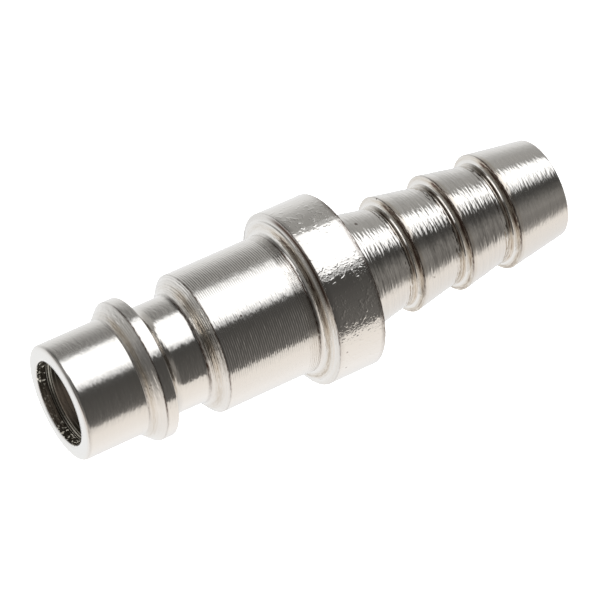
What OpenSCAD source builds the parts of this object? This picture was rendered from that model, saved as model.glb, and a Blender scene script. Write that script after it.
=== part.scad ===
// Compressed air hose nipple: a plug profile, a round collar and a barbed hose tail,
// turned in one piece from round bar, with a bore from end to end.
// It stands on the open end of its hose tail, and +Z runs up the bore to the plug's tip.

/* [Plug nose] */
// Diameter of the nose, which the coupling's seal closes on
nose_d = 9.8; // [9.4:0.1:10.4]
// Length from the tip to the foot of the bead's cone
nose_length = 5.35; // [3:0.05:9]
// Rounding of the tip's outer edge
nose_edge = 0.35; // [0.1:0.05:0.6]

/* [Locking bead] */
// Diameter of the bead
bead_d = 11.9; // [11:0.1:13]
// Slope of the bead's front cone against the axis, in degrees
bead_slope = 43; // [30:1:60]
// Length of the bead's full diameter
bead_land = 1.05; // [0.6:0.05:2.5]
// Rounding of the bead's two edges
bead_edge = 0.1; // [0.05:0.01:0.25]
// Rounding between the bead's back and the groove's floor
bead_fillet = 1.15; // [0.5:0.05:1.3]

/* [Locking groove] */
// Diameter of the groove's floor, where the coupling's balls lock
groove_d = 9.2; // [8.4:0.1:9.4]
// Length of the groove from the bead's back wall to the foot of the shoulder
groove_length = 3.6; // [2.6:0.05:6]
// Rounding at the foot of the shoulder
shoulder_fillet = 0.6; // [0.2:0.05:0.8]
// Slope of the shoulder against the axis, in degrees
shoulder_slope = 52; // [30:1:65]

/* [Body] */
// Diameter of the plug's body
body_d = 11.9; // [11:0.1:13]
// Length of the body between the shoulder and the collar
body_length = 8.6; // [4:0.1:14]
// Rounding of the body's front edge
body_edge = 0.1; // [0.05:0.01:0.25]

/* [Collar] */
// Diameter of the collar that the hose butts against
collar_d = 15; // [14:0.1:18]
// Length of the collar with its front wall
collar_length = 4.9; // [3:0.1:9]
// Slant of the collar's front wall, measured along the axis
collar_slant = 0.3; // [0.1:0.02:0.5]
// Width across the flat of the front wall, left inside the chamfer
collar_face = 0.95; // [0.6:0.05:1.2]
// Length of the collar's front chamfer along the axis
collar_chamfer = 0.32; // [0.2:0.02:0.9]
// Rounding in the corner between the body and the collar
collar_fillet = 0.3; // [0.1:0.05:0.4]
// Rounding of the collar's outer edges
collar_edge = 0.1; // [0.05:0.01:0.3]

/* [Hose tail] */
// Diameter over the barbs' crests
barb_d = 10.2; // [9.6:0.1:11.5]
// Diameter at the barbs' roots and at the open end
root_d = 8.6; // [8:0.1:9.2]
// Number of barbs
barb_count = 3; // [1:1:5]
// Length from one barb's crest to the next
barb_pitch = 4.7; // [3.5:0.1:7]
// Length of each barb's steep wall along the axis
barb_wall = 0.25; // [0.1:0.05:0.6]
// Length from the collar to the first barb's crest
neck_length = 5.3; // [4.5:0.1:8]
// Length from the last barb's crest to the open end
tail_length = 5.25; // [3.5:0.05:8]
// Rounding of the crests and of the open end's edge
crest_edge = 0.1; // [0.05:0.01:0.25]
// Rounding at the barbs' roots
root_fillet = 0.15; // [0.05:0.05:0.4]

/* [Bore] */
// Diameter of the bore in the plug
bore_d = 7.2; // [5.6:0.1:7.6]
// Depth of the plug's bore to the drill's shoulder
bore_depth = 24; // [8:0.5:29]
// Diameter of the bore in the hose tail
tail_bore_d = 6.4; // [4.5:0.1:6.8]
// Angle of the drill's point, in degrees
drill_angle = 118; // [90:2:140]
// Chamfer on the bore's two mouths
mouth_chamfer = 0.08; // [0:0.02:0.3]

/* [Hidden] */
turn_steps = 180;
round_steps = 6;
cut = 1;

// Stations along the axis, measured from the plug's tip.
bead_foot = nose_length;
bead_front = bead_foot + slope_run(nose_d, bead_d, bead_slope);
bead_back = bead_front + bead_land;
shoulder_foot = bead_back + groove_length;
body_front = shoulder_foot + slope_run(groove_d, body_d, shoulder_slope);
collar_front = body_front + body_length;
collar_back = collar_front + collar_length;
first_crest = collar_back + neck_length;
last_crest = first_crest + (barb_count - 1) * barb_pitch;
overall_length = last_crest + tail_length;

// The hidden land of the neck ends one barb before the first crest.
neck_land = max(neck_length - barb_pitch, 2 * crest_edge);
collar_face_d = min(body_d + 2 * collar_face, collar_d - 2 * collar_edge);

// Length along the axis that a cone of this slope takes between two diameters.
function slope_run(d1, d2, slope) = abs(d2 - d1) / 2 / tan(slope);

// The outline's corners from the tip to the open end: radius, station and rounding.
function nose_corners() = [
    [nose_d / 2, 0, nose_edge],
    [nose_d / 2, bead_foot, 0.1]
];

function bead_corners() = [
    [bead_d / 2, bead_front, bead_edge],
    [bead_d / 2, bead_back, bead_edge]
];

function groove_corners() = [
    [groove_d / 2, bead_back, bead_fillet],
    [groove_d / 2, shoulder_foot, shoulder_fillet]
];

function body_corners() = [
    [body_d / 2, body_front, body_edge],
    [body_d / 2, collar_front, collar_fillet]
];

function collar_corners() = [
    [collar_face_d / 2, collar_front + collar_slant, 0.05],
    [collar_d / 2, collar_front + collar_slant + collar_chamfer, collar_edge],
    [collar_d / 2, collar_back, collar_edge]
];

function neck_corners() = [
    [barb_d / 2, collar_back, 0],
    [barb_d / 2, collar_back + neck_land, 0]
];

// One barb: the foot of its steep wall, then its crest.
function barb_corners(crest) = [
    [root_d / 2, crest - barb_wall, root_fillet],
    [barb_d / 2, crest, crest_edge]
];

function tail_corners() = [
    for (i = [0:barb_count - 1]) each barb_corners(first_crest + i * barb_pitch),
    [root_d / 2, overall_length, crest_edge]
];

outer_corners = concat(
    [[0, 0, 0]],
    nose_corners(),
    bead_corners(),
    groove_corners(),
    body_corners(),
    collar_corners(),
    neck_corners(),
    tail_corners(),
    [[0, overall_length, 0]]
);

// The bore as a drill leaves it, run past both ends to cut cleanly.
bore_corners = [
    [0, -cut, 0],
    [bore_d / 2 + mouth_chamfer + cut, -cut, 0],
    [bore_d / 2, mouth_chamfer, 0],
    [bore_d / 2, bore_depth, 0],
    [tail_bore_d / 2, bore_depth + slope_run(bore_d, tail_bore_d, drill_angle / 2), 0],
    [tail_bore_d / 2, overall_length - mouth_chamfer, 0],
    [tail_bore_d / 2 + mouth_chamfer + cut, overall_length + cut, 0],
    [0, overall_length + cut, 0]
];

function unit(v) = v / norm(v);

function turned_by(v, a) = [v.x * cos(a) - v.y * sin(a), v.x * sin(a) + v.y * cos(a)];

// The share of a side that a corner's arc may take beside its neighbour's arc.
function arc_share(r, other) = r > 0 ? 0.97 * r / (r + other) : 0;

// One corner p between a and b, rounded to r, with at most the lengths most_a and most_b of its sides.
function rounded_corner(a, p, b, r, most_a, most_b) =
    let (
        u = unit(a - p),
        v = unit(b - p),
        half = acos(min(max(u * v, -1), 1)) / 2,
        run = r <= 0 || half > 89 ? 0 : min(r / tan(half), most_a, most_b),
        centre = p + unit(u + v) * run / cos(half),
        sweep = (180 - 2 * half) * sign(cross(u, v))
    )
    run <= 0 ? [p] : [
        for (i = [0:round_steps])
            centre + turned_by(p + u * run - centre, -sweep * i / round_steps)
    ];

function rounded(corners) =
    let (n = len(corners))
    [
        for (i = [0:n - 1])
            let (
                before = corners[(i + n - 1) % n],
                here = corners[i],
                after = corners[(i + 1) % n],
                a = [before[0], before[1]],
                p = [here[0], here[1]],
                b = [after[0], after[1]]
            )
            each rounded_corner(
                a, p, b, here[2],
                norm(a - p) * arc_share(here[2], before[2]),
                norm(b - p) * arc_share(here[2], after[2])
            )
    ];

// A turned solid, stood on its open end with its tip up.
module turned(corners) {
    translate([0, 0, overall_length])
        mirror([0, 0, 1])
            rotate_extrude($fn = turn_steps)
                polygon(rounded(corners));
}

module hose_nipple() {
    color([0.80, 0.79, 0.76])
        difference() {
            turned(outer_corners);
            turned(bore_corners);
        }
}

hose_nipple();
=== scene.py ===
import bpy
import math
from mathutils import Matrix, Vector


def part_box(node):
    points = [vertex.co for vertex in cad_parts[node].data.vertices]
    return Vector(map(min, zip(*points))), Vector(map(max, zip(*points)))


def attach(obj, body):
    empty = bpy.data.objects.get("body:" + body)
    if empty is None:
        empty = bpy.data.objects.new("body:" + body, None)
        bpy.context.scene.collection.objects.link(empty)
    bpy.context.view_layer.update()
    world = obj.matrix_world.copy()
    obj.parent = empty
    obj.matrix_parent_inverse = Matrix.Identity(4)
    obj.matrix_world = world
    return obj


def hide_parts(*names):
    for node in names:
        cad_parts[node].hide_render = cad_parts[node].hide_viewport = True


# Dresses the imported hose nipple: the turned surface with its tool marks, the nickel plate,
# and a small product studio round it. Lengths are in mm; times mm they are Blender's metres.

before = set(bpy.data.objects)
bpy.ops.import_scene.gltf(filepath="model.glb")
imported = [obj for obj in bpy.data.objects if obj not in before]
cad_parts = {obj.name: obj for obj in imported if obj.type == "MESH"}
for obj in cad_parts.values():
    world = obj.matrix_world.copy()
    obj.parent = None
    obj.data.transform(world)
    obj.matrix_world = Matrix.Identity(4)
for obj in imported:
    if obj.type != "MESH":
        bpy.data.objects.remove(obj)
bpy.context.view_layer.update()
mm = 0.001
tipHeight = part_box("hose_nipple")[1].z / mm


# small helpers for node trees

def addNode(tree, kind, settings=None, inputs=None):
    node = tree.nodes.new(kind)
    for key, value in (settings or {}).items():
        setattr(node, key, value)
    for key, value in (inputs or {}).items():
        socket = node.inputs[key]
        if isinstance(value, bpy.types.NodeSocket):
            tree.links.new(value, socket)
        else:
            socket.default_value = value
    return node


def mathNode(tree, operation, a, b=0.0, c=0.0):
    return addNode(tree, "ShaderNodeMath", {"operation": operation}, {0: a, 1: b, 2: c}).outputs[0]


def product(tree, *factors):
    result = factors[0]
    for factor in factors[1:]:
        result = mathNode(tree, "MULTIPLY", result, factor)
    return result


def joined(tree, x, y, z):
    return addNode(tree, "ShaderNodeCombineXYZ", inputs={"X": x, "Y": y, "Z": z}).outputs[0]


def parted(tree, vector):
    return list(addNode(tree, "ShaderNodeSeparateXYZ", inputs={0: vector}).outputs)


def flatLength(tree, x, y):
    squares = mathNode(tree, "MULTIPLY_ADD", x, x, mathNode(tree, "MULTIPLY", y, y))
    return mathNode(tree, "SQRT", squares)


def mapNode(tree, value, start, end, low=0.0, high=1.0, smooth=False):
    # goes from low to high while the value goes from start to end, and no further
    way = {"interpolation_type": "SMOOTHSTEP" if smooth else "LINEAR"}
    inputs = {"Value": value, "From Min": start, "From Max": end, "To Min": low, "To Max": high}
    return addNode(tree, "ShaderNodeMapRange", way, inputs).outputs[0]


def mixed(tree, factor, a, b, kind="RGBA", way="MIX"):
    # goes from a at factor 0 to b at factor 1; a fixed colour is given as three numbers
    a, b = ((*value, 1.0) if isinstance(value, tuple) else value for value in (a, b))
    settings = {"data_type": kind, "blend_type": way}
    return addNode(tree, "ShaderNodeMix", settings, {"Factor": factor, "A": a, "B": b}).outputs["Result"]


def rampNode(tree, value, stops):
    # a colour ramp; a stop is a colour or, for a grey, its level
    node = addNode(tree, "ShaderNodeValToRGB", inputs={"Fac": value})
    elements = node.color_ramp.elements
    while len(elements) > 1:
        elements.remove(elements[-1])
    for i, (place, colour) in enumerate(stops):
        stop = elements[0] if i == 0 else elements.new(place)
        stop.position = place
        stop.color = (*colour, 1.0) if isinstance(colour, tuple) else (colour, colour, colour, 1.0)
    return node.outputs["Color"]


def noiseNode(tree, place, scale=1.0, detail=1.0, roughness=0.5):
    return addNode(tree, "ShaderNodeTexNoise", inputs={
        "Vector": place, "Scale": scale, "Detail": detail, "Roughness": roughness}).outputs


def ringNoise(tree, along, detail):
    # changes with one value alone, so it makes rings on a turned surface
    return addNode(tree, "ShaderNodeTexNoise", {"noise_dimensions": "1D"}, {
        "W": along, "Scale": 1.0, "Detail": detail}).outputs[0]


def newMaterial(name):
    material = bpy.data.materials.new(name)
    material.use_nodes = True
    material.node_tree.nodes.clear()
    return material


def showSurface(tree, shader, kind="ShaderNodeOutputMaterial"):
    tree.links.new(shader, addNode(tree, kind).inputs["Surface"])


# the turned outline

nipple = {
    "noseD": 9.8, "noseLength": 5.35, "noseEdge": 0.35, "coneFoot": 0.12,
    "beadD": 11.9, "beadSlope": 43, "beadLand": 1.05, "beadEdge": 0.1, "beadFillet": 1.15,
    "grooveD": 9.2, "grooveLength": 3.6, "shoulderFillet": 0.6, "shoulderSlope": 52,
    "bodyD": 11.9, "bodyLength": 8.6, "bodyEdge": 0.1, "roughEnd": 1.3,
    "collarD": 15.0, "collarLength": 4.9, "collarSlant": 0.3, "collarFace": 0.9,
    "stepRise": 0.08, "stepRun": 0.11, "stepEdge": 0.02,
    "collarChamfer": 0.32, "collarFillet": 0.28, "collarEdge": 0.08,
    "barbD": 10.2, "rootD": 8.6, "barbCount": 3, "barbPitch": 4.7, "barbWall": 0.22,
    "footD": 8.84, "footLand": 0.13, "footRise": 0.22, "footEdge": 0.05, "rootFillet": 0.1,
    "neckLength": 5.3, "tailLength": 5.25, "crestEdge": 0.08, "crestLand": 0.75,
    "boreD": 7.2, "boreDepth": 24.0, "tailBoreD": 6.4, "drillAngle": 118, "mouthChamfer": 0.08,
    "roughMouth": 0.83, "ringedMouth": 1.27, "cleanMouth": 1.9, "tailMouth": 2.0,
    "arcSteps": 5, "arcShare": 0.97,
}

# how each stretch was left: the spacing of its points in mm, then the strength of its feed marks,
# uneven ridges, chatter, dullness, drawn skin, bore colour and drill rings, each 0 where not given
# feed marks and ridges also set painted shade lines along them; the bore colour holds painted glints and a
# painted lit patch, and the drill rings painted highlights
finishes = {
    "face": {"step": 0.35, "chatter": 0.2},
    "nose": {"step": 0.075, "ridge": 0.08, "chatter": 0.6, "dull": 0.25},
    "beadCone": {"step": 0.06, "feed": 1.2, "ridge": 0.5, "chatter": 1.2},
    "bead": {"step": 0.07, "ridge": 0.06, "chatter": 0.8},
    "beadBack": {"step": 0.09, "ridge": 0.08, "chatter": 0.8},
    "groove": {"step": 0.09, "ridge": 0.08, "chatter": 0.8},
    "shoulder": {"step": 0.045, "feed": 3.0, "ridge": 0.8, "chatter": 1.5},
    "body": {"step": 0.0425, "feed": 2.9, "chatter": 0.8},
    "bodyEnd": {"step": 0.0425, "feed": 6.0, "ridge": 0.1, "chatter": 0.8},
    "collarWall": {"step": 0.05, "ridge": 0.4, "chatter": 1.2},
    "collarStep": {"step": 0.05},
    "chamfer": {"step": 0.05, "ridge": 0.4, "chatter": 1.2},
    "collar": {"step": 0.45, "skin": 1.0},
    "collarBack": {"step": 0.35, "chatter": 0.2},
    "barb": {"step": 0.075, "ridge": 1.0, "chatter": 1.2},
    "lastBarb": {"step": 0.1, "ridge": 0.22, "chatter": 0.8},
    "footRise": {"step": 0.09, "chatter": 1.0},
    "footLand": {"step": 0.09, "chatter": 1.0},
    "barbWall": {"step": 0.09, "chatter": 1.0},
    "crestLand": {"step": 0.1, "ridge": 0.25, "chatter": 1.0},
    "mouth": {"step": 0.1},
    "boreMouth": {"step": 0.06, "ridge": 1.2, "chatter": 3.0, "bore": 1.0},
    "boreRings": {"step": 0.05, "ridge": 3.0, "chatter": 1.0, "bore": 1.0, "dull": 1.0, "rings": 1.0},
    "bore": {"step": 0.09, "ridge": 0.8, "chatter": 1.0, "bore": 1.0, "dull": 1.0, "rings": 0.25},
    "deepBore": {"step": 2.0, "bore": 1.0, "dull": 1.0},
}
finishMarks = ["feed", "ridge", "chatter", "dull", "skin", "bore", "rings"]
brokenByArcs = ["feed", "ridge"]  # marks that a rounded corner doesn't carry
soilAndShadeMarks = ["stain", "grimeAndShade", "rim"]
markNames = finishMarks + soilAndShadeMarks + ["path"]

# spots of soil and painted shade, each hung on the corner where a finish starts: outward shift in mm,
# shift along the axis in mm, strength, reach in mm
# brown residue, partly painted shade: its spots darken the walls where shade falls and keep off the bright
# lines
residueAndShade = [
    ("beadCone", 0.3, 0.3, 0.42, 0.28), ("beadCone", 0, -0.35, 0.05, 0.4),
    ("groove", 0.4, 0.5, 0.25, 0.5), ("shoulder", 0.6, 0.45, 0.5, 0.35),
    ("collarWall", 0.55, 0.2, 0.95, 0.25), ("collarWall", 1.3, 0.5, 0.2, 0.2),
    ("collarWall", 0, -0.7, 0.08, 0.5), ("footLand", -0.08, -0.1, 1.2, 0.11),
    ("crestLand", -0.24, -0.1, 1.3, 0.2), ("crestLand", -0.05, 0.25, 0.3, 0.15),
]
# dark lines along the edges and in the corners, partly dirt and partly painted shade where the corners lie in
# shade
dirtAndShadeLines = [
    ("nose", 0, 0.1, 1.3, 0.08), ("beadCone", 0, 0.1, 1.3, 0.08), ("bead", 0, 0, 1.3, 0.07),
    ("shoulder", 0, 0, 1.95, 0.12), ("body", 0, 0, 1.3, 0.07), ("collarWall", 0, -0.3, 1.69, 0.09),
    ("collar", 0, -0.08, 2.08, 0.09), ("collarBack", 0, 0, 2.86, 0.1), ("crestLand", 0, 0, 2.0, 0.08),
]
# a dark band on the collar's front rim, partly dirt and partly painted shade of its rounded edge
rimDirtAndShade = [("collar", -0.22, -0.12, 1.07, 0.22)]


def slopeRun(d1, d2, slope):
    return abs(d2 - d1) / 2 / math.tan(math.radians(slope))


def barbCorners(size, crest, isLast):
    # the foot ring, the steep wall, the crest and the smooth land that begins the long cone behind it
    landEnd = crest - size["barbWall"]
    landStart = landEnd - size["footLand"]
    riseStart = landStart - size["footRise"]
    shortCone = size["barbPitch"] - size["barbWall"] - size["footLand"] - size["footRise"]
    coneLength = size["tailLength"] if isLast else shortCone
    smoothEndR = size["barbD"] / 2 - (size["barbD"] - size["rootD"]) / 2 * size["crestLand"] / coneLength
    return [
        (size["rootD"] / 2, riseStart, size["rootFillet"], "footRise"),
        (size["footD"] / 2, landStart, size["footEdge"], "footLand"),
        (size["footD"] / 2, landEnd, size["footEdge"], "barbWall"),
        (size["barbD"] / 2, crest, size["crestEdge"], "crestLand"),
        (smoothEndR, crest + size["crestLand"], 0, "lastBarb" if isLast else "barb"),
    ]


def boreCorners(size, openEnd):
    # from the open end back to the tip, as two drills left it
    boreR, tailBoreR = size["boreD"] / 2, size["tailBoreD"] / 2
    drillEnd = size["boreDepth"] + slopeRun(size["boreD"], size["tailBoreD"], size["drillAngle"] / 2)
    return [
        (tailBoreR + size["mouthChamfer"], openEnd, 0, "mouth"),
        (tailBoreR, openEnd - size["mouthChamfer"], 0, "bore"),
        (tailBoreR, openEnd - size["tailMouth"], 0, "deepBore"),
        (tailBoreR, drillEnd, 0, "deepBore"),
        (boreR, size["boreDepth"], 0, "deepBore"),
        (boreR, size["cleanMouth"], 0, "bore"),
        (boreR, size["ringedMouth"], 0, "boreRings"),
        (boreR, size["roughMouth"], 0, "boreMouth"),
        (boreR, size["mouthChamfer"], 0, "mouth"),
    ]


def outlineCorners(size):
    # every corner: radius, station from the tip, rounding, finish of the stretch that follows
    noseR, beadR, grooveR = size["noseD"] / 2, size["beadD"] / 2, size["grooveD"] / 2
    bodyR, collarR, barbR = size["bodyD"] / 2, size["collarD"] / 2, size["barbD"] / 2
    beadFront = size["noseLength"] + slopeRun(size["noseD"], size["beadD"], size["beadSlope"])
    beadBack = beadFront + size["beadLand"]
    shoulderFoot = beadBack + size["grooveLength"]
    bodyFront = shoulderFoot + slopeRun(size["grooveD"], size["bodyD"], size["shoulderSlope"])
    collarFront = bodyFront + size["bodyLength"]
    collarBack = collarFront + size["collarLength"]
    firstCrest = collarBack + size["neckLength"]
    wallR, wallEnd = bodyR + size["collarFace"], collarFront + size["collarSlant"]
    corners = [
        (size["boreD"] / 2 + size["mouthChamfer"], 0, 0, "face"),
        (noseR, 0, size["noseEdge"], "nose"),
        (noseR, size["noseLength"], size["coneFoot"], "beadCone"),
        (beadR, beadFront, size["beadEdge"], "bead"),
        (beadR, beadBack, size["beadEdge"], "beadBack"),
        (grooveR, beadBack, size["beadFillet"], "groove"),
        (grooveR, shoulderFoot, size["shoulderFillet"], "shoulder"),
        (bodyR, bodyFront, size["bodyEdge"], "body"),
        (bodyR, collarFront - size["roughEnd"], 0, "bodyEnd"),
        (bodyR, collarFront, size["collarFillet"], "collarWall"),
        (wallR, wallEnd, size["stepEdge"], "collarStep"),
        (wallR + size["stepRise"], wallEnd + size["stepRun"], size["stepEdge"], "chamfer"),
        (collarR, wallEnd + size["collarChamfer"], size["collarEdge"], "collar"),
        (collarR, collarBack, size["collarEdge"], "collarBack"),
        (barbR, collarBack, 0, "barb"),
        (barbR, firstCrest - size["barbPitch"], 0, "barb"),
    ]
    crests = [firstCrest + i * size["barbPitch"] for i in range(size["barbCount"])]
    for crest in crests:
        corners += barbCorners(size, crest, crest == crests[-1])
    openEnd = crests[-1] + size["tailLength"]
    corners.append((size["rootD"] / 2, openEnd, size["crestEdge"], "face"))
    return corners + boreCorners(size, openEnd)


def roundCorner(a, p, b, radius, shareA, shareB, steps):
    # the points of the corner p between a and b; its arc keeps to its share of each side,
    # and a corner that is all but straight stays one point
    toA, toB = (a - p).normalized(), (b - p).normalized()
    half = toA.angle(toB) / 2
    allButStraight = math.radians(89)
    if radius <= 0 or half > allButStraight:
        return [p]
    run = min(radius / math.tan(half), (a - p).length * shareA, (b - p).length * shareB)
    centre = p + (toA + toB).normalized() * run / math.cos(half)
    sweep = (math.pi - 2 * half) * (1 if toA.x * toB.y - toA.y * toB.x > 0 else -1)
    start = p + toA * run - centre
    return [centre + Matrix.Rotation(-sweep * i / steps, 2) @ start for i in range(steps + 1)]


def outlinePoints(size, corners):
    # walks round the closed outline and lays points as close as each finish needs; a point is
    # its place, its finish and whether it lies on a rounded corner
    count = len(corners)
    places = [Vector(corner[:2]) for corner in corners]

    def share(i, k):
        mine, other = corners[i][2], corners[k % count][2]
        return size["arcShare"] * mine / (mine + other) if mine > 0 else 0

    arcs = [
        roundCorner(places[i - 1], places[i], places[(i + 1) % count], corners[i][2],
                    share(i, i - 1), share(i, i + 1), size["arcSteps"])
        for i in range(count)
    ]
    points = []
    for i, arc in enumerate(arcs):
        finish, before = finishes[corners[i][3]], finishes[corners[i - 1][3]]
        for k, place in enumerate(arc):
            points.append((place, before if k < len(arc) / 2 else finish, len(arc) > 1))
        start, end = arc[-1], arcs[(i + 1) % count][0]
        pieces = max(1, math.ceil((end - start).length / finish["step"]))
        for k in range(1, pieces):
            points.append((start.lerp(end, k / pieces), finish, False))
    return points


def spotsOn(corners, soilAndShade):
    # radius, station, strength and reach of each spot
    return [
        (radius + outward, station + along, strength, reach)
        for radius, station, rounding, finish in corners
        for corner, outward, along, strength, reach in soilAndShade if corner == finish
    ]


def strengthAt(place, spots):
    most = 0.0
    for radius, station, strength, reach in spots:
        apart = math.hypot(place.x - radius, place.y - station)
        most = max(most, strength * math.exp(-((apart / reach) ** 2)))
    return most


def outlineMesh(size):
    corners = outlineCorners(size)
    points = outlinePoints(size, corners)
    places = [place for place, finish, isArc in points]
    stains, grimesAndShade, rims = (spotsOn(corners, soilAndShade) for soilAndShade in (residueAndShade, dirtAndShadeLines, rimDirtAndShade))
    count = len(places)
    mesh = bpy.data.meshes.new("nippleOutline")
    mesh.from_pydata([(p.x * mm, 0.0, (tipHeight - p.y) * mm) for p in places],
                     [(i, (i + 1) % count) for i in range(count)], [])
    marks = {name: [] for name in markNames}
    facing, walked = [], 0.0
    for i, (place, finish, isArc) in enumerate(points):
        after = places[(i + 1) % count]
        along = after - places[i - 1]
        facing += [along.y, 0.0, along.x]
        marks["path"].append(walked)
        walked += (after - place).length
        for name in finishMarks:
            marks[name].append(0.0 if isArc and name in brokenByArcs else finish.get(name, 0.0))
        marks["stain"].append(strengthAt(place, stains))
        marks["grimeAndShade"].append(min(1.0, strengthAt(place, grimesAndShade)))
        marks["rim"].append(strengthAt(place, rims))
    for name, values in marks.items():
        mesh.attributes.new(name, "FLOAT", "POINT").data.foreach_set("value", values)
    mesh.attributes.new("facing", "FLOAT_VECTOR", "POINT").data.foreach_set("vector", facing)
    return mesh


# the lathe: a geometry node tree that turns any closed outline about Z

# pitches are in mm along the outline, the other lengths in metres
lathe = {
    "Segments": 100,
    "Feed pitch": 0.189, "Feed depth": 0.0022 * mm,
    "Ridge pitch": 0.12, "Ridge depth": 0.055 * mm,
    "Chatter length": 1.3 * mm, "Chatter pitch": 0.17, "Chatter depth": 0.006 * mm,
    "Seam width": 0.0002 * mm, "Seed": 4.0,
}


def toolPush(tree, source, marks, radius, turn, across, away):
    # how far the tool marks stand out from the turned surface
    path = marks["path"]

    def waves(noise, depth, name):
        return product(tree, mathNode(tree, "SUBTRACT", noise, 0.5), depth, marks[name])

    # feed marks run as one fine thread
    feedTurns = mathNode(tree, "ADD", mathNode(tree, "DIVIDE", path, source["Feed pitch"]), turn)
    feedWave = mathNode(tree, "SINE", mathNode(tree, "MULTIPLY", feedTurns, math.tau))
    feed = product(tree, feedWave, source["Feed depth"], marks["feed"])
    # the ridges are uneven rings
    ridgePlace = mathNode(tree, "ADD", mathNode(tree, "DIVIDE", path, source["Ridge pitch"]), source["Seed"])
    ridge = waves(ringNoise(tree, ridgePlace, detail=2.0), source["Ridge depth"], "ridge")
    # chatter breaks both up round the axis
    reach = mathNode(tree, "DIVIDE", radius, source["Chatter length"])
    chatterPlace = joined(tree, product(tree, across, reach), product(tree, away, reach),
                          mathNode(tree, "DIVIDE", path, source["Chatter pitch"]))
    chatter = waves(noiseNode(tree, chatterPlace)[0], source["Chatter depth"], "chatter")
    return mathNode(tree, "ADD", mathNode(tree, "ADD", feed, ridge), chatter)


def addSockets(tree):
    face = tree.interface
    face.new_socket("Geometry", in_out="INPUT", socket_type="NodeSocketGeometry")
    face.new_socket("Geometry", in_out="OUTPUT", socket_type="NodeSocketGeometry")
    for name, value in lathe.items():
        kind = "NodeSocketInt" if isinstance(value, int) else "NodeSocketFloat"
        face.new_socket(name, in_out="INPUT", socket_type=kind).default_value = value


def latheTree(material):
    tree = bpy.data.node_groups.new("latheTree", "GeometryNodeTree")
    addSockets(tree)
    source = addNode(tree, "NodeGroupInput").outputs
    outline = source["Geometry"]
    points = addNode(tree, "GeometryNodeAttributeDomainSize", inputs={"Geometry": outline}).outputs[0]
    grid = addNode(tree, "GeometryNodeMeshGrid", inputs={
        "Size X": points, "Size Y": source["Segments"],
        "Vertices X": mathNode(tree, "ADD", points, 1.0),
        "Vertices Y": mathNode(tree, "ADD", source["Segments"], 1.0)})
    # the flat grid's own place says which outline point and which angle a vertex takes
    gridX, gridY = parted(tree, addNode(tree, "GeometryNodeInputPosition").outputs[0])[:2]
    rowPlace = mathNode(tree, "ROUND", mathNode(tree, "MULTIPLY_ADD", points, 0.5, gridX))
    row = mathNode(tree, "FLOORED_MODULO", rowPlace, points)
    turn = mathNode(tree, "DIVIDE", gridY, source["Segments"])
    angle = mathNode(tree, "MULTIPLY", turn, math.tau)
    across, away = mathNode(tree, "COSINE", angle), mathNode(tree, "SINE", angle)

    def sampled(value, dataType):
        settings = {"data_type": dataType, "domain": "POINT"}
        sample = addNode(tree, "GeometryNodeSampleIndex", settings, {"Geometry": outline, "Index": row})
        tree.links.new(value, sample.inputs["Value"])
        return sample.outputs["Value"]

    def named(name, dataType="FLOAT"):
        node = addNode(tree, "GeometryNodeInputNamedAttribute", {"data_type": dataType}, {"Name": name})
        return sampled(node.outputs["Attribute"], dataType)

    position = addNode(tree, "GeometryNodeInputPosition").outputs[0]
    radius, height = parted(tree, sampled(position, "FLOAT_VECTOR"))[::2]
    facing = named("facing", "FLOAT_VECTOR")
    straight = addNode(tree, "ShaderNodeVectorMath", {"operation": "NORMALIZE"}, {0: facing}).outputs[0]
    outward, upward = parted(tree, straight)[::2]
    marks = {name: named(name) for name in markNames}
    push = toolPush(tree, source, marks, radius, turn, across, away)
    turned = mathNode(tree, "MULTIPLY_ADD", push, outward, radius)
    newPlace = joined(tree, product(tree, turned, across), product(tree, turned, away),
                      mathNode(tree, "MULTIPLY_ADD", push, upward, height))
    shape = grid.outputs["Mesh"]
    for name, mark in marks.items():
        settings = {"data_type": "FLOAT", "domain": "POINT"}
        stored = addNode(tree, "GeometryNodeStoreNamedAttribute", settings, {"Geometry": shape, "Name": name})
        tree.links.new(mark, stored.inputs["Value"])
        shape = stored.outputs[0]
    steps = [
        ("GeometryNodeSetPosition", {"Position": newPlace}),
        ("GeometryNodeMergeByDistance", {"Distance": source["Seam width"]}),
        ("GeometryNodeSetShadeSmooth", {}),
        ("GeometryNodeRealizeInstances", {}),
        ("GeometryNodeSetMaterial", {"Material": material}),
    ]
    for kind, inputs in steps:
        shape = addNode(tree, kind, inputs={"Geometry": shape, **inputs}).outputs[0]
    tree.links.new(shape, addNode(tree, "NodeGroupOutput").inputs[0])
    return tree


def turnOutline(outline, material, name):
    source = bpy.data.objects.new(name + "Source", outline)
    bpy.context.scene.collection.objects.link(source)
    modifier = source.modifiers.new("lathe", "NODES")
    modifier.node_group = latheTree(material)
    for item in modifier.node_group.interface.items_tree:
        if item.in_out == "INPUT" and item.name in lathe:
            modifier[item.identifier] = lathe[item.name]
    depsgraph = bpy.context.evaluated_depsgraph_get()
    mesh = bpy.data.meshes.new_from_object(source.evaluated_get(depsgraph), depsgraph=depsgraph)
    mesh.name = name
    bpy.data.objects.remove(source)
    piece = bpy.data.objects.new(name, mesh)
    bpy.context.scene.collection.objects.link(piece)
    return piece


# the nickel plate

# Lean is a place's x over its radius: -1 on the piece's -X side and 1 on its +X side.
# A noise is given as scale, detail and, where it isn't 0.5, roughness. A fade, or a pattern drawn
# from a noise, is given as the values where it starts and ends, then the strength at its start,
# where that isn't 0, and at its end, where that isn't 1.

plate = {
    "nickel": (0.80, 0.785, 0.76), "roughness": 0.12, "dullRoughness": 0.35, "skinRoughness": 0.04,
    "ringStretch": 9 * mm,  # how far the ringed noises move with each mm of path
}


def stretched(tree, at, byTurn, byPath):
    # a place for ring-like noise: slow round the piece, fast along its outline
    x, y = product(tree, at["x"], byTurn), product(tree, at["y"], byTurn)
    return joined(tree, x, y, product(tree, at["path"], byPath))


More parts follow.
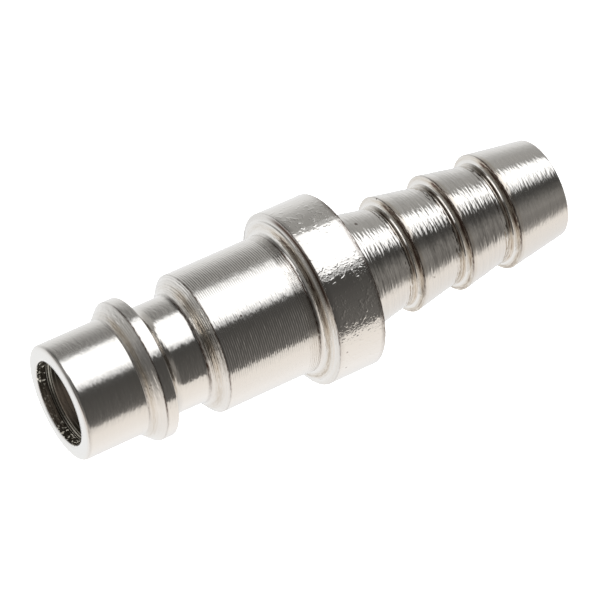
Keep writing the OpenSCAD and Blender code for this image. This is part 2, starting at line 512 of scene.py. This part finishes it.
def surfaceOf(tree):
    # the marks on the mesh, the place, and what is worked out from them
    at = {}
    for name in markNames:
        at[name] = addNode(tree, "ShaderNodeAttribute", {"attribute_name": name}).outputs["Fac"]
    at["place"] = addNode(tree, "ShaderNodeTexCoord").outputs["Object"]
    at["x"], at["y"] = parted(tree, at["place"])[:2]
    at["lean"] = mathNode(tree, "DIVIDE", at["x"], flatLength(tree, at["x"], at["y"]))
    at["ringed"] = stretched(tree, at, 1.0, plate["ringStretch"])
    return at


def sideFades(tree, at, look, left, right):
    # thins out towards the -X side and the +X side
    ends = [mapNode(tree, at["lean"], *look[name], smooth=True) for name in (left, right)]
    return product(tree, *ends)


# brown residue of the plating bath, partly painted shade: it is darkest on the walls that lie in shade and
# thins out towards the -X and +X sides
stainLook = {
    "thin": (0.62, 0.56, 0.48), "thinShare": 0.4, "full": (0.12, 0.075, 0.06), "roughness": 0.16,
    "noise": (900.0, 4.0, 0.65), "patches": (0.38, 0.58, 0.45, 1.2),
    "leftFade": (-0.65, -0.2, 0.5), "rightFade": (0.93, 0.72, 0.2),
}


def stainShare(tree, at):
    patches = mapNode(tree, noiseNode(tree, at["ringed"], *stainLook["noise"])[0], *stainLook["patches"])
    sides = sideFades(tree, at, stainLook, "leftFade", "rightFade")
    return mathNode(tree, "MINIMUM", product(tree, at["stain"], sides, patches), 1.0)


# nickel running through thin residue to full residue, partly painted shade
def stainedNickel(tree, share):
    stops = [(0, plate["nickel"]), (stainLook["thinShare"], stainLook["thin"]), (1, stainLook["full"])]
    return rampNode(tree, share, stops)


# painted shade: dark lines along the feed marks, and grey streaks along the rougher tool marks, strongest on
# the side where light grazes them
# The sides are stops of strength: the feed's from lean 0 to 1, the streaks' from lean -1 to 1.
lineShadeLook = {
    "colour": (0.12, 0.115, 0.105), "feedShare": 1 / 3,
    "feedSides": [(0, 0), (0.42, 0), (0.52, 0.55), (0.6, 0.55), (0.66, 0.04), (0.86, 0.04), (0.96, 0)],
    "streakLength": 3 * mm, "streakPitch": 0.2, "streakNoise": (1.0, 2.0), "streaks": (0.4, 0.62),
    "streakSides": [(0, 0.05), (0.17, 0.05), (0.26, 0.36), (0.5, 0.36), (0.6, 0.12), (1, 0.12)],
}


def paintedFeedShade(tree, at):
    wave = mathNode(tree, "SINE", mathNode(tree, "MULTIPLY", at["path"], math.tau / lathe["Feed pitch"]))
    lines = mathNode(tree, "MULTIPLY_ADD", wave, 0.5, 0.5)
    side = rampNode(tree, at["lean"], lineShadeLook["feedSides"])
    return product(tree, at["feed"], lineShadeLook["feedShare"], side, lines)


def paintedStreakShade(tree, at):
    place = stretched(tree, at, 1 / lineShadeLook["streakLength"], 1 / lineShadeLook["streakPitch"])
    streaks = mapNode(tree, noiseNode(tree, place, *lineShadeLook["streakNoise"])[0], *lineShadeLook["streaks"])
    side = rampNode(tree, mathNode(tree, "MULTIPLY_ADD", at["lean"], 0.5, 0.5), lineShadeLook["streakSides"])
    return product(tree, streaks, at["ridge"], side)


# inside the bore, painted light on a dark wall: painted glints at the mouth, painted highlights on the drill
# rings, and behind them a painted lit patch in the middle, away from the -X and +X sides
boreLook = {
    "dark": (0.035, 0.03, 0.022), "litMiddle": (0.27, 0.22, 0.175), "glint": (0.78, 0.74, 0.64),
    "roughness": 0.14, "dullness": 0.5, "litMiddleFade": (0.65, 0.15), "litMiddleGlint": 0.25, "mouthBrown": 0.3,
    "glintNoise": (4000.0, 1.0), "glints": (0.57, 0.66), "ringsPerMm": 6.0, "rings": (0.52, 0.61),
}


def boreColour(tree, at):
    dark, litMetal, bright = boreLook["dark"], boreLook["litMiddle"], boreLook["glint"]
    # the middle of the wall, away from the -X and +X sides, is painted lit: lighter and browner, with dimmer
    # painted glints and ring highlights
    litMiddle = mapNode(tree, mathNode(tree, "ABSOLUTE", at["lean"]), *boreLook["litMiddleFade"], smooth=True)
    shine = mathNode(tree, "MULTIPLY_ADD", litMiddle, boreLook["litMiddleGlint"] - 1, 1.0)
    # painted glints, and painted highlights along the drill rings
    glints = mapNode(tree, noiseNode(tree, at["place"], *boreLook["glintNoise"])[0], *boreLook["glints"])
    ringPlace = product(tree, at["path"], boreLook["ringsPerMm"])
    rings = mapNode(tree, ringNoise(tree, ringPlace, detail=0.0), *boreLook["rings"])
    wall = mixed(tree, product(tree, litMiddle, boreLook["mouthBrown"]), dark, litMetal)
    mouth = mixed(tree, product(tree, glints, shine), wall, bright)
    litPatch = mixed(tree, litMiddle, dark, litMetal)
    ringed = mixed(tree, product(tree, rings, shine), dark, bright)
    return mixed(tree, at["rings"], mixed(tree, at["dull"], mouth, litPatch), ringed)


# dark dirt and painted shade: lines along the edges and in the corners and a band on the collar's front rim,
# each partly dirt and partly painted shade, and pits with ragged rims
dirtAndShadeLook = {
    "colour": (0.10, 0.065, 0.05), "roughness": 0.35,
    "speckNoise": (2500.0, 2.0), "specks": (0.38, 0.56, 0.35),
    "leftFade": (-0.92, -0.6, 0.2), "rightFade": (0.93, 0.72, 0.2),
    "rimLeftFade": (-0.38, -0.15), "rimRightFade": (0.96, 0.78, 0.1),
    "pitCore": 0.4, "pitRagged": 0.15 * mm,
}

# small pits: direction in degrees from the -Y side towards +X, then station from the tip, radius
# there and size, all in mm, and strength
pits = [
    (45, 27.85, 4.8, 0.2, 0.8), (66, 30.95, 5.08, 0.15, 1.0),
    (-39.5, 32.05, 4.89, 0.13, 0.45), (-38, 31.9, 4.9, 0.1, 0.4),
    (-49, 22.0, 7.45, 0.12, 0.6), (-57, 22.0, 7.42, 0.1, 0.6), (-64, 22.05, 7.45, 0.12, 0.6),
    (4, 14.7, 5.95, 0.13, 0.9), (2, 15.5, 5.95, 0.1, 0.5),
    (-17.5, 5.85, 5.4, 0.11, 0.5), (-20, 5.75, 5.3, 0.08, 0.5),
]


def pitShare(tree, ragged, direction, station, radius, size, strength):
    turn = math.radians(direction)
    place = (radius * math.sin(turn), -radius * math.cos(turn), tipHeight - station)
    centre = [value * mm + dirtAndShadeLook["pitRagged"] / 2 for value in place]
    apart = addNode(tree, "ShaderNodeVectorMath", {"operation": "DISTANCE"}, {0: ragged, 1: centre})
    rim = size * mm
    return mapNode(tree, apart.outputs["Value"], rim, rim * dirtAndShadeLook["pitCore"], 0.0, strength)


def dirtAndShadeShare(tree, at):
    noise, noiseColour = noiseNode(tree, at["ringed"], *dirtAndShadeLook["speckNoise"])[:2]
    lines = product(tree, at["grimeAndShade"], mapNode(tree, noise, *dirtAndShadeLook["specks"]),
                    sideFades(tree, at, dirtAndShadeLook, "leftFade", "rightFade"))
    rim = product(tree, at["rim"], sideFades(tree, at, dirtAndShadeLook, "rimLeftFade", "rimRightFade"))
    most = mathNode(tree, "MAXIMUM", lines, rim)
    push = [dirtAndShadeLook["pitRagged"]] * 3
    ragged = addNode(tree, "ShaderNodeVectorMath", {"operation": "MULTIPLY_ADD"}, {
        0: noiseColour, 1: push, 2: at["place"]}).outputs[0]
    for pit in pits:
        most = mathNode(tree, "MAXIMUM", most, pitShare(tree, ragged, *pit))
    return most


# fine relief, too small for the mesh
reliefLook = {
    "grain": (9000.0, 2.0), "grainDepth": 0.0003 * mm,
    "chatterLength": 0.6 * mm, "chatterPitch": 0.22, "chatter": (1.0, 1.0), "chatterDepth": 0.022 * mm,
    "boreGrain": (5500.0, 2.0), "boreDepth": 0.05 * mm,
    "drawnStretch": (1, 1, 0.05), "drawnLines": (3600.0, 1.0), "drawnDepth": 0.008 * mm,
    "blistersNoise": (2500.0, 1.0), "blisters": (0.55, 0.75), "skinDepth": 0.013 * mm,
    "specksNoise": (6000.0, 1.0), "specks": (0.52, 0.72, 0.0, 0.5),
    "clustersNoise": (420.0, 1.0), "clusters": (0.42, 0.56, 0.15),
}


def skinHeight(tree, at):
    # blisters and clusters of specks in the drawn skin of the bar
    heights = {}
    for name in ("blisters", "specks", "clusters"):
        noise = noiseNode(tree, at["place"], *reliefLook[name + "Noise"])[0]
        heights[name] = mapNode(tree, noise, *reliefLook[name], smooth=(name == "blisters"))
    both = mathNode(tree, "MULTIPLY_ADD", heights["specks"], heights["clusters"], heights["blisters"])
    return product(tree, both, at["skin"])


def reliefNormal(tree, at):
    # one relief over the other: grain, short waves along the tool marks, the bore's rough wall,
    # the lines along the axis that drawing leaves on the bar, and its skin
    chatterPlace = stretched(tree, at, 1 / reliefLook["chatterLength"], 1 / reliefLook["chatterPitch"])
    drawnPlace = addNode(tree, "ShaderNodeVectorMath", {"operation": "MULTIPLY"}, {
        0: at["place"], 1: reliefLook["drawnStretch"]}).outputs[0]
    chatter = noiseNode(tree, chatterPlace, *reliefLook["chatter"])[0]
    roughWall = product(tree, at["bore"], mathNode(tree, "SUBTRACT", 1.0, at["dull"]),
                        noiseNode(tree, at["place"], *reliefLook["boreGrain"])[0])
    drawnLines = noiseNode(tree, drawnPlace, *reliefLook["drawnLines"])[0]
    reliefs = [
        (noiseNode(tree, at["place"], *reliefLook["grain"])[0], reliefLook["grainDepth"]),
        (product(tree, chatter, at["chatter"]), reliefLook["chatterDepth"]),
        (roughWall, reliefLook["boreDepth"]),
        (product(tree, drawnLines, at["skin"]), reliefLook["drawnDepth"]),
        (skinHeight(tree, at), reliefLook["skinDepth"]),
    ]
    below = {}
    for height, depth in reliefs:
        inputs = {"Strength": 1.0, "Distance": depth, "Height": height, **below}
        below = {"Normal": addNode(tree, "ShaderNodeBump", inputs=inputs).outputs[0]}
    return below["Normal"]


def nickelMaterial():
    material = newMaterial("nickelPlate")
    tree = material.node_tree
    at = surfaceOf(tree)
    # the residue and the dark lines, both partly painted shade
    stain, dirtAndShade = stainShare(tree, at), dirtAndShadeShare(tree, at)
    colour = stainedNickel(tree, stain)
    # painted shade lines along the feed marks and the rougher tool marks
    for shade in (paintedFeedShade(tree, at), paintedStreakShade(tree, at)):
        colour = mixed(tree, shade, colour, lineShadeLook["colour"])
    # the bore's colour, with its painted glints, ring highlights and lit patch
    colour = mixed(tree, at["bore"], colour, boreColour(tree, at))
    # dark lines and the rim band, partly painted shade, and the pits
    colour = mixed(tree, dirtAndShade, colour, dirtAndShadeLook["colour"])
    roughness = plate["roughness"]
    levels = [
        (at["dull"], plate["dullRoughness"]), (at["skin"], plate["skinRoughness"]),
        (stain, stainLook["roughness"]), (dirtAndShade, dirtAndShadeLook["roughness"]), (at["bore"], boreLook["roughness"]),
    ]
    for share, level in levels:
        roughness = mixed(tree, share, roughness, level, "FLOAT")
    metallic = mathNode(tree, "MULTIPLY_ADD", at["bore"], -boreLook["dullness"], 1.0)
    shader = addNode(tree, "ShaderNodeBsdfPrincipled", inputs={
        "Base Color": colour, "Metallic": metallic, "Roughness": roughness, "Normal": reliefNormal(tree, at)})
    showSurface(tree, shader.outputs[0])
    return material


print("turning the nipple")
nickel = nickelMaterial()
outline = outlineMesh(nipple)
dressed = turnOutline(outline, nickel, "hoseNippleTurned")
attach(dressed, "root")
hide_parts("hose_nipple")
print("rings", len(outline.vertices), "triangles", sum(len(p.vertices) - 2 for p in dressed.data.polygons))


# the studio: a white floor, soft lamps, and reflecting cards that only the metal sees

# sizes in mm and levels of light, 1 being white
studio = {
    "floorHalf": 1500, "floorGlow": 0.62, "floorColour": 0.8, "worldLight": 0.35,
    "tentRadius": 430, "tentLevel": 1.22, "tentRings": 32, "tentSides": 64,
}

# brightness of the tent's cards: for each height in degrees, stops of direction in degrees and
# level; direction 0 is the -Y side and 90 is the +X side
tentRows = {
    -80: [(-180, 0.68), (-80, 0.70), (-60, 0.12), (0, 0.07), (60, 0.1), (100, 0.3), (140, 0.6),
          (180, 0.68)],
    -42: [(-180, 0.62), (-160, 0.69), (-84, 0.79), (-72, 0.31), (-60, 0.2), (-50, 0.2), (-38, 0.235),
          (-25, 0.19), (-12, 0.1), (0, 0.055), (20, 0.06), (70, 0.25), (78, 0.31), (100, 0.32),
          (120, 0.45), (140, 0.66), (160, 0.69), (180, 0.62)],
    -30: [(-180, 0.66), (-150, 0.77), (-88, 0.81), (-72, 0.66), (-67, 0.17), (-45, 0.14), (-25, 0.11),
          (-10, 0.07), (20, 0.06), (70, 0.3), (78, 0.37), (100, 0.39), (113, 0.47), (131, 0.67),
          (151, 0.74), (180, 0.67)],
    -20: [(-180, 0.69), (-168, 0.76), (-131, 0.88), (-91, 0.83), (-72, 0.79), (-68, 0.12), (-51, 0.1),
          (-31, 0.076), (-10, 0.058), (10, 0.056), (70, 0.2), (78, 0.27), (95, 0.28), (111, 0.41),
          (131, 0.67), (151, 0.75), (168, 0.8), (180, 0.72)],
    -11: [(-180, 0.72), (-165, 0.78), (-131, 0.87), (-86, 0.8), (-71, 0.6), (-67, 0.1), (-31, 0.07),
          (10, 0.052), (70, 0.11), (78, 0.15), (98, 0.17), (113, 0.31), (131, 0.63), (151, 0.76),
          (180, 0.75)],
    12: [(-180, 0.84), (-157, 0.84), (-84, 0.76), (-68, 0.5), (-55, 0.07), (0, 0.045), (60, 0.05),
         (90, 0.07), (110, 0.14), (130, 0.55), (150, 0.78), (180, 0.84)],
    47: [(-180, 0.82), (-100, 0.83), (-85, 0.78), (-65, 0.58), (-41, 0.3), (-14, 0.18), (14, 0.22),
         (40, 0.28), (64, 0.35), (84, 0.38), (102, 0.40), (118, 0.6), (133, 0.75), (180, 0.82)],
    67: [(-180, 0.7), (-92, 0.8), (-73, 0.62), (-49, 0.26), (-18, 0.13), (17, 0.125), (48, 0.165),
         (72, 0.24), (91, 0.33), (107, 0.39), (121, 0.55), (180, 0.65)],
}

# tint of the cards: stops of direction in degrees and colour
tentTint = [
    (-180, (0.98, 0.99, 1)), (-130, (1, 0.97, 0.945)), (-90, (1, 0.94, 0.88)), (-65, (1, 0.94, 0.875)),
    (-20, (1, 0.95, 0.885)), (20, (1, 0.97, 0.93)), (90, (1, 0.98, 0.94)), (130, (1, 0.995, 0.985)),
    (180, (0.98, 0.99, 1)),
]

# one soft bright patch among the cards, with its left and right halves apart; angles in degrees
softbox = {
    "direction": 40, "height": -22, "slant": -0.05, "level": 1.55, "edgePower": 1.6,
    "leftWidth": 36.5, "leftSoft": 0.5, "leftHeight": 30.5, "leftPower": 3.0, "leftSlant": 0,
    "rightWidth": 38, "rightSoft": 0.36, "rightHeight": 46, "rightPower": 2.0, "rightSlant": 0.2,
    "seam": 0.9, "seamWidth": 0.02, "seamDark": 0.75,
}


def tentColour(tree, direction, height):
    turn = mathNode(tree, "MULTIPLY_ADD", direction, 1 / 360, 0.5)

    def row(stops):
        return rampNode(tree, turn, [((degrees + 180) / 360, colour) for degrees, colour in stops])

    rises = sorted(tentRows)
    colour = row(tentRows[rises[0]])
    for below, above in zip(rises, rises[1:]):
        colour = mixed(tree, mapNode(tree, height, below, above), colour, row(tentRows[above]))
    return mixed(tree, 1.0, colour, row(tentTint), way="MULTIPLY")


def softboxMask(tree, direction, height):
    # a soft-edged bright patch, narrower towards its top and bottom
    above = mathNode(tree, "SUBTRACT", height, softbox["height"])
    middle = mathNode(tree, "MULTIPLY_ADD", above, softbox["slant"], softbox["direction"])
    aside = mathNode(tree, "SUBTRACT", direction, middle)
    isRight = mathNode(tree, "GREATER_THAN", aside, 0.0)

    def bySide(name):
        left, right = softbox["left" + name], softbox["right" + name]
        return mathNode(tree, "MULTIPLY_ADD", isRight, right - left, left)

    width = mathNode(tree, "MULTIPLY_ADD", above, bySide("Slant"), bySide("Width"))
    sideways = mathNode(tree, "DIVIDE", aside, width)
    upright = mathNode(tree, "DIVIDE", mathNode(tree, "ABSOLUTE", above), bySide("Height"))
    upright = mathNode(tree, "POWER", upright, bySide("Power"))
    reach = mathNode(tree, "SQRT", mathNode(tree, "MULTIPLY_ADD", sideways, sideways, upright))
    inside = mapNode(tree, reach, 1.0, mathNode(tree, "SUBTRACT", 1.0, bySide("Soft")))
    outside = mathNode(tree, "SUBTRACT", 1.0, inside)
    mask = mathNode(tree, "SUBTRACT", 1.0, mathNode(tree, "POWER", outside, softbox["edgePower"]))
    # a dark seam just inside its right edge
    seam = product(tree, mathNode(tree, "COMPARE", reach, softbox["seam"], softbox["seamWidth"]), isRight)
    return product(tree, mask, mathNode(tree, "MULTIPLY_ADD", seam, -softbox["seamDark"], 1.0))


def cardMaterial():
    material = newMaterial("studioCards")
    tree = material.node_tree
    x, y, z = parted(tree, addNode(tree, "ShaderNodeTexCoord").outputs["Object"])
    front = mathNode(tree, "MULTIPLY", y, -1.0)
    direction = mathNode(tree, "DEGREES", mathNode(tree, "ARCTAN2", x, front))
    height = mathNode(tree, "DEGREES", mathNode(tree, "ARCTAN2", z, flatLength(tree, x, y)))
    boxColour = (softbox["level"] / studio["tentLevel"],) * 3
    colour = mixed(tree, softboxMask(tree, direction, height), tentColour(tree, direction, height), boxColour)
    glow = addNode(tree, "ShaderNodeEmission", inputs={"Color": colour, "Strength": studio["tentLevel"]})
    showSurface(tree, glow.outputs[0])
    return material


def tentMesh(name, radius, rings, sides):
    places, faces = [], []
    for i in range(1, rings):
        rise = math.pi * (i / rings - 0.5)
        for k in range(sides):
            turn = math.tau * k / sides
            x, y = radius * math.cos(rise) * math.cos(turn), radius * math.cos(rise) * math.sin(turn)
            places.append((x, y, radius * math.sin(rise)))
    low, top = len(places), len(places) + 1
    places += [(0, 0, -radius), (0, 0, radius)]
    last = (rings - 2) * sides
    for k in range(sides):
        after = (k + 1) % sides
        faces += [(k, after, low), (last + after, last + k, top)]
        for row in range(0, last, sides):
            faces.append((row + after, row + k, row + sides + k, row + sides + after))
    mesh = bpy.data.meshes.new(name)
    mesh.from_pydata(places, [], faces)
    return mesh


def onlyInReflections(thing):
    thing.visible_camera = False
    thing.visible_diffuse = False
    thing.visible_transmission = False
    thing.visible_volume_scatter = False
    thing.visible_shadow = False


def addStage(name, mesh, material):
    thing = bpy.data.objects.new(name, mesh)
    mesh.materials.append(material)
    bpy.context.scene.collection.objects.link(thing)
    return thing


def seenDirectly(tree):
    # 1 for camera, glossy and transmission rays, 0 for the rays that light other things
    path = addNode(tree, "ShaderNodeLightPath").outputs
    seen = mathNode(tree, "MAXIMUM", path["Is Camera Ray"], path["Is Glossy Ray"])
    return mathNode(tree, "MAXIMUM", seen, path["Is Transmission Ray"])


def floorMesh(half):
    mesh = bpy.data.meshes.new("floor")
    corners = [(-half, -half, 0), (half, -half, 0), (half, half, 0), (-half, half, 0)]
    mesh.from_pydata(corners, [], [(0, 1, 2, 3)])
    return mesh


def floorMaterial():
    # the glow gives the pale colour itself, and the plain shader under it keeps the shadow
    material = newMaterial("floorWhite")
    tree = material.node_tree
    level = studio["floorColour"]
    base = addNode(tree, "ShaderNodeBsdfDiffuse", inputs={"Color": (level, level, level, 1)})
    strength = mathNode(tree, "MULTIPLY", seenDirectly(tree), studio["floorGlow"])
    glow = addNode(tree, "ShaderNodeEmission", inputs={"Color": (1, 1, 1, 1), "Strength": strength})
    both = addNode(tree, "ShaderNodeAddShader", inputs={0: base.outputs[0], 1: glow.outputs[0]})
    showSurface(tree, both.outputs[0])
    return material


def buildWorld():
    world = bpy.data.worlds.new("studioWorld")
    bpy.context.scene.world = world
    world.use_nodes = True
    tree = world.node_tree
    tree.nodes.clear()
    strength = mapNode(tree, seenDirectly(tree), 0.0, 1.0, studio["worldLight"], 1.0)
    back = addNode(tree, "ShaderNodeBackground", inputs={"Color": (1, 1, 1, 1), "Strength": strength})
    showSurface(tree, back.outputs[0], "ShaderNodeOutputWorld")


# places and sizes in mm, power in watts
lamps = {
    "lampAbove": {"place": (-60, 40, 330), "size": 260, "power": 1.5},
    "lampLeft": {"place": (-260, -120, 200), "size": 220, "power": 0.9},
    "lampRight": {"place": (240, -60, 220), "size": 220, "power": 0.9},
}


def addLamps(aim):
    for name, values in lamps.items():
        light = bpy.data.lights.new(name, "AREA")
        light.shape = "DISK"
        light.size = values["size"] * mm
        light.energy = values["power"]
        lamp = bpy.data.objects.new(name, light)
        lamp.location = Vector(values["place"]) * mm
        lamp.rotation_euler = (aim - lamp.location).to_track_quat("-Z", "Y").to_euler()
        lamp.visible_glossy = False
        lamp.visible_camera = False
        bpy.context.scene.collection.objects.link(lamp)


# distances in mm, angles in degrees, clipping in metres
photoCamera = {
    "distance": 266.05, "elevation": 21.33, "roll": -114.2, "aimX": -0.33, "aimBelowTip": 22.09,
    "lens": 198.0, "sensor": 36.0, "clipStart": 0.01, "clipEnd": 10.0,
}


def addCamera(view):
    data = bpy.data.cameras.new("photoCamera")
    data.lens, data.sensor_width = view["lens"], view["sensor"]
    data.clip_start, data.clip_end = view["clipStart"], view["clipEnd"]
    camera = bpy.data.objects.new("photoCamera", data)
    rise = math.radians(view["elevation"])
    back = Vector((0, -math.cos(rise), math.sin(rise)))
    look = (-back).to_track_quat("-Z", "Y").to_matrix().to_4x4()
    place = Vector((view["aimX"], 0, tipHeight - view["aimBelowTip"])) * mm + back * view["distance"] * mm
    roll = Matrix.Rotation(math.radians(view["roll"]), 4, "Z")
    camera.matrix_world = Matrix.Translation(place) @ look @ roll
    bpy.context.scene.collection.objects.link(camera)
    bpy.context.scene.camera = camera


print("building the studio")
middle = Vector((0, 0, tipHeight / 2 * mm))
floor = addStage("floor", floorMesh(studio["floorHalf"] * mm), floorMaterial())
floor.visible_glossy = False
tentShape = tentMesh("tent", studio["tentRadius"] * mm, studio["tentRings"], studio["tentSides"])
tent = addStage("tent", tentShape, cardMaterial())
tent.location = middle
onlyInReflections(tent)
buildWorld()
addLamps(middle)
addCamera(photoCamera)
bpy.context.scene.view_settings.view_transform = "Standard"
